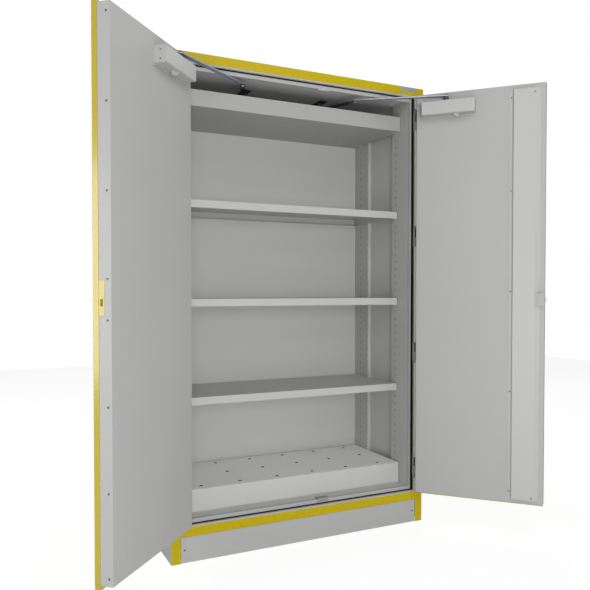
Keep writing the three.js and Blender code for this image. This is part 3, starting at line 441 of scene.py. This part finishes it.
# Screws: the heads take the dark hinge steel, whose darkness on them is painted shade in their sockets
screwLayout = {
    "edgeRadius": 4, "edgeRise": 0.15, "edgeU": 531.5, "edgeN": 13,
    "edgeZ": (176, 434, 695, 956, 1080, 1343, 1608, 1873),
    "plinthRadius": 4, "plinthFromEnd": 14,
    "coverRadius": 3.2, "coverFlatN": -14.3, "coverFlat": ((489, 1863), (485, 180)),
    "flangeN": -1.5, "flangeU": 396, "flangeZ": (200, 621, 1042, 1463, 1850),
    "closerRadius": 3, "closerEnd": {"left": 275, "right": 251}, "closerN": -26, "closerZ": (1813, 1844),
}


def addScrews(layout):
    edge = [(onDoor("left", layout["edgeU"], layout["edgeN"], z), doorDirection("left", 1, 0))
            for z in layout["edgeZ"]]
    addCopies("edge_strip_screws", screwHead(layout["edgeRadius"] * mm, layout["edgeRise"]), edge,
              "left_door", hingeSteelAndScrewShade)
    low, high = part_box("plinth_panel")
    ends = (low[0] + layout["plinthFromEnd"] * mm, high[0] - layout["plinthFromEnd"] * mm)
    plinth = [((x, low[1], (low[2] + high[2]) / 2), (0, -1, 0)) for x in ends]
    addCopies("plinth_screws", screwHead(layout["plinthRadius"] * mm), plinth,
              "root", hingeSteelAndScrewShade)
    inward = doorDirection("right", 0, -1)
    cover = [(onDoor("right", u, layout["coverFlatN"], z), inward) for u, z in layout["coverFlat"]]
    cover += [(onDoor("right", layout["flangeU"], layout["flangeN"], z), inward) for z in layout["flangeZ"]]
    addCopies("lock_cover_screws", screwHead(layout["coverRadius"] * mm), cover, "right_door",
              hingeSteelAndScrewShade)
    for hand, end in layout["closerEnd"].items():
        along = doorDirection(hand, 1, 0)
        places = [(onDoor(hand, end, layout["closerN"], z), along) for z in layout["closerZ"]]
        addCopies(hand + "_closer_screws", screwHead(layout["closerRadius"] * mm), places, hand + "_door",
                  hingeSteelAndScrewShade)


addScrews(screwLayout)
print("screws added")

# Hinge sleeves: a thin dark tube over each knuckle, the lower one on the frame, the upper one on the door
hingeLayout = {
    "heights": (257, 771.5, 1286, 1800.5), "height": 83, "gap": 1, "radius": 6.3, "inside": 6.02, "sides": 24,
}


def addHinges(layout):
    far, near = layout["height"] / 2, layout["gap"] / 2
    for hand in ("left", "right"):
        place = jointOf[hand + "_door_hinge"]["pos_m"]
        places = [((place[0], place[1], z * mm), (0, 0, 1)) for z in layout["heights"]]
        for part, body, low, high in (("frame", "root", -far, -near), ("door", hand + "_door", near, far)):
            section = ringSection(layout["inside"], layout["radius"], low, high)
            addCopies(f"{hand}_hinge_sleeves_{part}", turnedShape(section, layout["sides"]), places, body,
                      hingeSteelAndScrewShade)


addHinges(hingeLayout)
print("hinge sleeves added")

# Closer fittings: a collar round each spindle, a nut on the arm over it, a cap over each elbow's rivet
closerFittings = {
    "collarInside": 9.1, "collarOutside": 11, "collarBottom": 1859.4, "collarTop": 1876.3, "collarSides": 24,
    "nutRadius": 8.5, "nutBottom": 1882, "nutTop": 1886.5, "nutBevel": 1, "nutShoulder": 0.8,
    "nutSides": 6, "nutSmooth": 20, "capRadius": 6.4, "capDepth": 4, "capSides": 20, "capSmooth": 50,
    "elbowFromEnd": 9, "elbowFromBottom": 2.5,
    "claspLength": 44, "claspWidth": 15, "claspDepth": 2, "claspFromElbow": 13, "claspCorner": 0.48,
    "claspSoft": 0.8,
}


def addCloserFittings(layout):
    collar = ringSection(layout["collarInside"], layout["collarOutside"], layout["collarBottom"],
                         layout["collarTop"])
    radius, bottom, top = layout["nutRadius"], layout["nutBottom"], layout["nutTop"]
    nut = np.array([[0, bottom], [radius, bottom], [radius, top - layout["nutBevel"]],
                    [layout["nutShoulder"] * radius, top], [0, top]]) * mm
    radius, depth = layout["capRadius"], layout["capDepth"]
    cap = np.array([[0, depth], [0.5 * radius, 0.94 * depth], [0.87 * radius, 0.6 * depth],
                    [radius, 0], [0, 0]]) * mm
    for hand in ("left", "right"):
        spindle = jointOf[hand + "_arm_pivot"]["pos_m"]
        above = [((spindle[0], spindle[1], 0), (0, 0, 1))]
        addCopies(hand + "_spindle_collar", turnedShape(collar, layout["collarSides"]), above, hand + "_door",
                  darkSteelAndShade)
        addCopies(hand + "_arm_nut", turnedShape(nut, layout["nutSides"]), above, hand + "_arm",
                  darkSteelAndShade, layout["nutSmooth"])
        low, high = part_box(hand + "_closer_forearm")
        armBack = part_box(hand + "_closer_arm")[1][1]
        side = 1 if hand == "right" else -1
        fromEnd = layout["elbowFromEnd"]
        elbow = ((high[0] if side > 0 else low[0]) - side * fromEnd * mm, armBack - fromEnd * mm,
                 low[2] + layout["elbowFromBottom"] * mm)
        addCopies(hand + "_elbow_cap", turnedShape(cap, layout["capSides"]), [(elbow, (0, 0, -1))],
                  hand + "_forearm", zincPlate, layout["capSmooth"])
        hinge = np.array(jointOf[hand + "_forearm_pivot"]["pos_m"])
        along = hinge - np.array(elbow)
        along[2] = 0
        along /= np.linalg.norm(along)
        clasp = flatPlate(layout["claspLength"] * mm, layout["claspWidth"] * mm,
                          layout["claspWidth"] * layout["claspCorner"] * mm, layout["claspDepth"] * mm,
                          layout["claspSoft"] * mm)
        addLaid(hand + "_elbow_clasp", clasp, np.array(elbow) + along * layout["claspFromElbow"] * mm, along,
                (along[1], -along[0], 0), (0, 0, -1), hand + "_forearm", zincPlate)


addCloserFittings(closerFittings)
print("closer fittings added")

# Drain sleeves: a short black sleeve with a lip in each hole of the sump inlay; the black inside each hole is
# partly the rubber sleeve and partly painted shade, standing for the shade down the hole
drainLayout = {
    "columns": 6, "rows": 3, "fromSide": 88.9, "fromFront": 36.9,
    "inside": 5.4, "outside": 5.9, "lip": 7.2, "lipHeight": 0.6, "lipDraw": 0.3, "depth": 6, "sides": 16,
}


def addDrainShadeSleeves(layout):
    low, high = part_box("sump_inlay")
    side, front = layout["fromSide"] * mm, layout["fromFront"] * mm
    across = np.linspace(low[0] + side, high[0] - side, layout["columns"])
    back = np.linspace(low[1] + front, high[1] - front, layout["rows"])
    profile = np.array([[layout["inside"], -layout["depth"]], [layout["outside"], -layout["depth"]],
                        [layout["outside"], 0], [layout["lip"], 0],
                        [layout["lip"] - layout["lipDraw"], layout["lipHeight"]],
                        [layout["inside"], layout["lipHeight"]], [layout["inside"], -layout["depth"]]]) * mm
    places = [((x, y, high[2]), (0, 0, 1)) for x in across for y in back]
    addCopies("drain_shade_sleeves", turnedShape(profile, layout["sides"]), places, "root", sealBlack)


addDrainShadeSleeves(drainLayout)
print("drain sleeves added")

# Expanding fire strip down the free edge of the right door, with a crowned face; with both doors shut it
# clears the low screws of the left door in the 3 mm gap
fireStripLayout = {
    "u": 531.5, "proud": 1.7, "n": 13, "width": 10, "bottom": 156, "top": 1898, "crown": 0.4, "steps": 10,
    "smooth": 60,
}


# The section runs over half a turn: it stands proud by sin t to the power of crown, and spans the width
# by cos t
def addFireStrip(layout):
    steps = layout["steps"]
    turn = np.linspace(0, math.pi, steps)
    out = layout["u"] + layout["proud"] * np.sin(turn) ** layout["crown"]
    n = layout["n"] + layout["width"] / 2 * np.cos(turn)
    rings = [[onDoor("right", u, nn, z) for u, nn in zip(out, n)] for z in (layout["bottom"], layout["top"])]
    middle = [[np.mean(ring, axis=0).tolist()] * steps for ring in rings]
    grid = np.array([middle[0], rings[0], rings[1], middle[1]]).reshape(-1, 3)
    addPiece("right_fire_strip", grid, gridFaces(len(grid) // steps, steps), "right_door", edgeSealBrown,
             layout["smooth"])


addFireStrip(fireStripLayout)
print("fire strip added")

# Lips of the outer skins: the yellow pan laps past the grey one at the top and the bottom
lipLayout = {
    "width": 531, "inner": 43.5, "outer": 64, "bottom": 152, "below": 16.5, "top": 1902, "above": 8.5,
    "corner": 1.2, "soft": 1,
}


def addSkinLips(layout):
    depth = layout["outer"] - layout["inner"]
    for hand in ("left", "right"):
        along, out = doorDirection(hand, 1, 0), doorDirection(hand, 0, 1)
        ends = (("top", layout["top"], layout["above"], 1), ("bottom", layout["bottom"], layout["below"], -1))
        for end, z, reach, way in ends:
            lip = flatPlate(layout["width"] * mm, depth * mm, layout["corner"] * mm, reach * mm,
                            layout["soft"] * mm)
            origin = onDoor(hand, layout["width"] / 2, layout["inner"] + depth / 2, z)
            addLaid(f"{hand}_skin_{end}_lip", lip, origin, along, out, (0, 0, way), hand + "_door",
                    doorYellow)


addSkinLips(lipLayout)
print("skin lips added")

# Slot shades: a dark plate in each free slot of the uprights, a little behind the face; its near-black colour
# is painted shade, standing for the shade inside the open slot
slotLayout = {
    "face": 518.8, "width": 4.7, "height": 8.7, "corner": 0.6, "depth": 0.4, "soft": 0.1,
    "first": 256, "pitch": 33, "count": 49, "front": 96, "rear": 70,
    "taken": (10, 22, 34, 46),      # slots that hold a clip, counted from the lowest one as 0
}


def addSlotShades(layout):
    back = flatPlate(*(layout[key] * mm for key in ("width", "height", "corner", "depth", "soft")))
    heights = [layout["first"] + step * layout["pitch"] for step in range(layout["count"])
               if step not in layout["taken"]]
    for side, hand in ((-1, "left"), (1, "right")):
        places = []
        for part in ("front", "rear"):
            low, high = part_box(f"{hand}_{part}_upright")
            y = low[1] + layout[part] * mm
            places += [((side * layout["face"] * mm, y, z * mm), (-side, 0, 0)) for z in heights]
        addCopies(hand + "_slot_shades", back, places, "root", slotShadeCoat)


addSlotShades(slotLayout)
print("slot backs added")

# Hinge side: a flange of the door's shell laps past the hinge edge, open at each hinge, where the
# dark leaf on the frame shows
hingeSideLayout = {
    "from": -11.5, "to": 0.5, "n": 12.6, "sheet": 1.6, "bottom": 153, "top": 1901, "open": 92, "soft": 0.4,
    "leaf": 539.4, "leafWidth": 4.6, "leafDepth": 0.6, "leafHeight": 82, "leafSoft": 0.2, "corner": 1,
}


def addHingeSides(layout):
    width = layout["to"] - layout["from"]
    stops = [layout["bottom"]]
    for height in hingeLayout["heights"]:
        stops += [height - layout["open"] / 2, height + layout["open"] / 2]
    stops.append(layout["top"])
    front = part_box("trim_frame")[0][1]
    leaf = flatPlate(*(layout[key] * mm for key in ("leafWidth", "leafHeight", "corner", "leafDepth",
                                                    "leafSoft")))
    for side, hand in ((-1, "left"), (1, "right")):
        along, inward = doorDirection(hand, 1, 0), doorDirection(hand, 0, -1)
        for index, (low, high) in enumerate(zip(stops[::2], stops[1::2])):
            flange = flatPlate(width * mm, (high - low) * mm, layout["corner"] * mm, layout["sheet"] * mm,
                               layout["soft"] * mm)
            origin = onDoor(hand, (layout["from"] + layout["to"]) / 2, layout["n"] + layout["sheet"],
                            (low + high) / 2)
            addLaid(f"{hand}_hinge_flange_{index + 1}", flange, origin, along, (0, 0, 1), inward,
                    hand + "_door", flangeBounceCoat)
        leaves = [((side * layout["leaf"] * mm, front, z * mm), (0, -1, 0)) for z in hingeLayout["heights"]]
        addCopies(hand + "_hinge_leaves", leaf, leaves, "root", hingeSteelAndScrewShade)


addHingeSides(hingeSideLayout)
print("hinge sides added")

# Folded and pressed edges: a copy of the node with its sharp edges rounded by so many mm stands for it
bevelSegments = 2
bevelAngle = 40      # degrees
softEdges = {
    "trim_frame": 0.8, "left_door_skin": 1.2, "right_door_skin": 1.2, "left_door_liner": 0.8,
    "right_door_liner": 0.8, "plinth_panel": 0.6, "lower_shelf": 0.8, "middle_shelf": 0.8, "upper_shelf": 0.8,
    "top_tray": 0.6, "sump_tray": 0.6, "left_closer_body": 1.2, "right_closer_body": 1.2,
    "left_edge_strip": 0.5, "lock_cover": 0.5, "lever_handle": 1.5, "handle_plate": 0.6,
}


def softCopy(node, width):
    source = nodes[node]
    mesh = source.data.copy()
    mesh.name = node + "_soft"
    tidyMesh(mesh)
    piece = bpy.data.objects.new(node + "_soft", mesh)
    bpy.context.scene.collection.objects.link(piece)
    bevel = piece.modifiers.new("edges", "BEVEL")
    bevel.width = width * mm
    bevel.segments = bevelSegments
    bevel.limit_method = "ANGLE"
    bevel.angle_limit = math.radians(bevelAngle)
    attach(piece, bodyOf[node])
    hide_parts(node)


for node, width in softEdges.items():
    softCopy(node, width)
print("edges softened on", len(softEdges), "nodes")

# Stage
stageLook = {
    "floorSize": 14, "floorColour": (0.8, 0.8, 0.8), "floorRough": 0.9, "floorGlow": 0.9, "floorShadow": 0.15,
    "worldLight": 0.22,
}
# Places and sizes in metres, power in watts
lamps = {
    "front": {"place": (-1.0, -3.7, 1.1), "target": (0, 0, 1.0), "size": (1.8, 1.4), "power": 52},
    "high": {"place": (-0.8, -3.8, 3.4), "target": (0, 0.2, 0.8), "size": (2.4, 1.6), "power": 24},
    "above": {"place": (0.1, -1.9, 2.7), "target": (0, 0.2, 0.7), "size": (1.4, 0.9), "power": 8},
    "below": {"place": (-0.2, -2.0, 0.12), "target": (0.05, 0.25, 1.8), "size": (2.2, 1.0), "power": 13.5},
    "left": {"place": (-2.5, -0.85, 1.15), "target": (-0.9, -0.43, 1.1), "size": (0.5, 1.2), "power": 9.5},
    "right": {"place": (2.6, -4.2, 1.4), "target": (0, 0, 1.0), "size": (2.0, 1.6), "power": 8},
    "backLeft": {"place": (-3.1, 3.7, 3.6), "target": (0, 0.2, 1.2), "size": (1.8, 1.8), "power": 75},
    "backRight": {"place": (3.1, 3.7, 3.6), "target": (0, 0.2, 1.2), "size": (1.8, 1.8), "power": 75},
}


# How much a ray sees plain white: camera, glossy and transmission rays do
def seesWhite(tree):
    path = tree.nodes.new("ShaderNodeLightPath")
    either = tree.nodes.new("ShaderNodeMath")
    either.operation = "MAXIMUM"
    anyOf = tree.nodes.new("ShaderNodeMath")
    anyOf.operation = "MAXIMUM"
    tree.links.new(path.outputs["Is Camera Ray"], either.inputs[0])
    tree.links.new(path.outputs["Is Glossy Ray"], either.inputs[1])
    tree.links.new(either.outputs[0], anyOf.inputs[0])
    tree.links.new(path.outputs["Is Transmission Ray"], anyOf.inputs[1])
    return anyOf.outputs[0]


def makeWorld(look):
    world = bpy.data.worlds.new("studio")
    bpy.context.scene.world = world
    world.use_nodes = True
    tree = world.node_tree
    tree.nodes.clear()
    light = tree.nodes.new("ShaderNodeBackground")
    light.inputs["Color"].default_value = (1, 1, 1, 1)
    light.inputs["Strength"].default_value = look["worldLight"]
    white = tree.nodes.new("ShaderNodeBackground")
    white.inputs["Color"].default_value = (1, 1, 1, 1)
    mix = tree.nodes.new("ShaderNodeMixShader")
    out = tree.nodes.new("ShaderNodeOutputWorld")
    tree.links.new(seesWhite(tree), mix.inputs["Fac"])
    tree.links.new(light.outputs[0], mix.inputs[1])
    tree.links.new(white.outputs[0], mix.inputs[2])
    tree.links.new(mix.outputs[0], out.inputs["Surface"])


# The lamp is tilted from straight down by acos(-z) of its direction and then turned towards the target
def areaLamp(name, look):
    data = bpy.data.lights.new(name, "AREA")
    data.shape = "RECTANGLE"
    data.size, data.size_y = look["size"]
    data.energy = look["power"]
    lamp = bpy.data.objects.new(name, data)
    bpy.context.scene.collection.objects.link(lamp)
    lamp.location = look["place"]
    direction = np.array(look["target"]) - np.array(look["place"])
    lamp.rotation_euler = (math.acos(-direction[2] / np.linalg.norm(direction)), 0,
                           math.atan2(direction[1], direction[0]) - math.pi / 2)


# The floor looks white to the camera, and a faint share of its own light keeps the shadow there
def makeFloor(look):
    half = look["floorSize"] / 2
    corners = np.array([[-half, -half, 0], [half, -half, 0], [half, half, 0], [-half, half, 0]])
    mesh = bpy.data.meshes.new("floor")
    mesh.from_pydata(corners.tolist(), [], [(0, 1, 2, 3)])
    floor = bpy.data.objects.new("floor", mesh)
    bpy.context.scene.collection.objects.link(floor)
    material, tree, shader = newMaterial("floorWhite")
    shader.inputs["Base Color"].default_value = (*look["floorColour"], 1)
    shader.inputs["Roughness"].default_value = look["floorRough"]
    glow = tree.nodes.new("ShaderNodeEmission")
    glow.inputs["Color"].default_value = (1, 1, 1, 1)
    glow.inputs["Strength"].default_value = look["floorGlow"]
    shade = tree.nodes.new("ShaderNodeBsdfDiffuse")
    shade.inputs["Color"].default_value = (*[look["floorShadow"]] * 3, 1)
    seen = tree.nodes.new("ShaderNodeAddShader")
    mix = tree.nodes.new("ShaderNodeMixShader")
    tree.links.new(glow.outputs[0], seen.inputs[0])
    tree.links.new(shade.outputs[0], seen.inputs[1])
    tree.links.new(seesWhite(tree), mix.inputs["Fac"])
    tree.links.new(shader.outputs[0], mix.inputs[1])
    tree.links.new(seen.outputs[0], mix.inputs[2])
    tree.links.new(mix.outputs[0], tree.nodes["Material Output"].inputs["Surface"])
    mesh.materials.append(material)


makeWorld(stageLook)
makeFloor(stageLook)
for name, look in lamps.items():
    areaLamp(name, look)
bpy.context.scene.view_settings.view_transform = "Standard"
print("stage lit")
